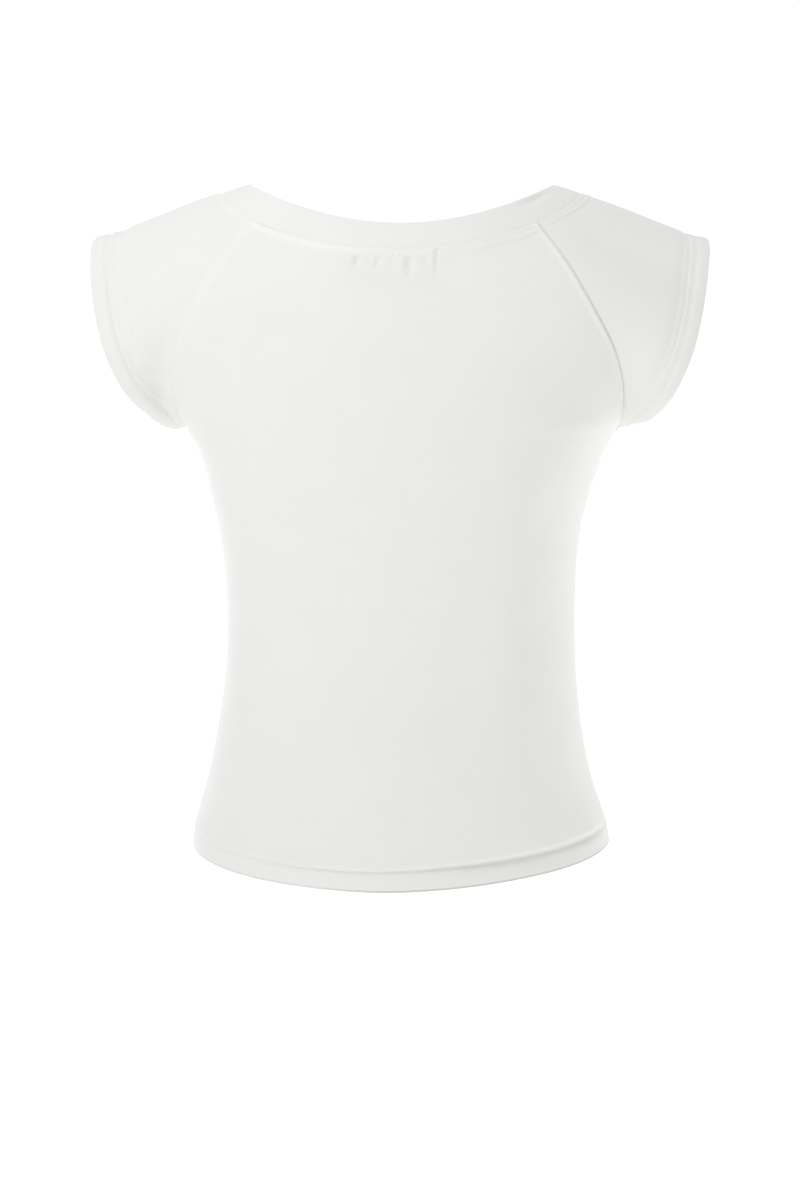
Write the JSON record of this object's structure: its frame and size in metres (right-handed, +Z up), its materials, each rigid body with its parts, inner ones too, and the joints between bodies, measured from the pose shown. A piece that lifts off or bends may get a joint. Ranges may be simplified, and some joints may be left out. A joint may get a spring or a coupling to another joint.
{
  "type": "t-shirt",
  "caption": "Fitted raglan T-shirt with cap sleeves, a wide scoop neckband and turned-up hems, hollow and filled out as worn.",
  "frame": {"origin": "midway between the wearer's shoulders, level with the highest points of the neckline, where the shoulders carry the shirt", "axes": "+Z up, -Y out of the shirt's front, +X towards the wearer's left"},
  "size_m": [0.4358, 0.2111, 0.4904],
  "materials": {
    "jersey": "fine white single jersey, matt, with a very soft sheen",
    "band_jersey": "the same white jersey folded double, matt",
    "label_tape": "blank off-white woven satin tape"
  },
  "bodies": {
    "root": {"back_panel": "jersey", "front_panel": "jersey", "sleeve_left": "jersey", "sleeve_right": "jersey", "neckband": "band_jersey", "neck_label": "label_tape"}
  },
  "joints": []
}
